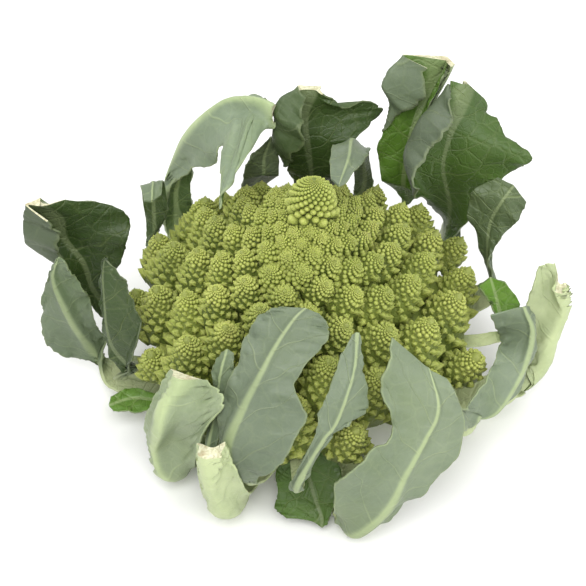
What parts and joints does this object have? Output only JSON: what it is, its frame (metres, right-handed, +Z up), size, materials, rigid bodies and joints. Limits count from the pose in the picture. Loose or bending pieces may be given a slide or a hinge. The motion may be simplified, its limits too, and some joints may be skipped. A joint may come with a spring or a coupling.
{
  "type": "romanesco head",
  "caption": "Whole romanesco head: a pointed green curd of spiralled cone florets on a cut stump, ringed by trimmed and whole leaves.",
  "frame": {"origin": "centre of the stump's cut face", "axes": "+Z up through the head, -Y towards the side with the two broad front leaves"},
  "size_m": [0.2644, 0.1935, 0.1545],
  "materials": {
    "curd": "matt yellow-green plant surface",
    "stem": "smooth pale green plant surface",
    "leaf": "waxy grey-green leaf with pale veins"
  },
  "bodies": {
    "root": {"stem": "stem", "curd": "curd", "leaf_front_right": "leaf", "leaf_front_left": "leaf", "leaf_front_stub": "leaf", "leaf_left_stub": "leaf", "leaf_left_scrap": "leaf", "leaf_left_curled": "leaf", "leaf_far_left_low": "leaf", "leaf_far_left_high": "leaf", "leaf_low_left": "leaf", "leaf_front_dark": "leaf", "leaf_front_small": "leaf", "leaf_right_hugging": "leaf", "leaf_right_stub": "leaf", "leaf_right_small": "leaf", "leaf_right_back": "leaf", "leaf_back_right": "leaf", "leaf_back_right_inner": "leaf", "leaf_back_flap": "leaf", "leaf_back_centre": "leaf", "leaf_back_left_inner": "leaf", "leaf_back_left": "leaf", "leaf_left_back_small": "leaf"}
  },
  "joints": []
}
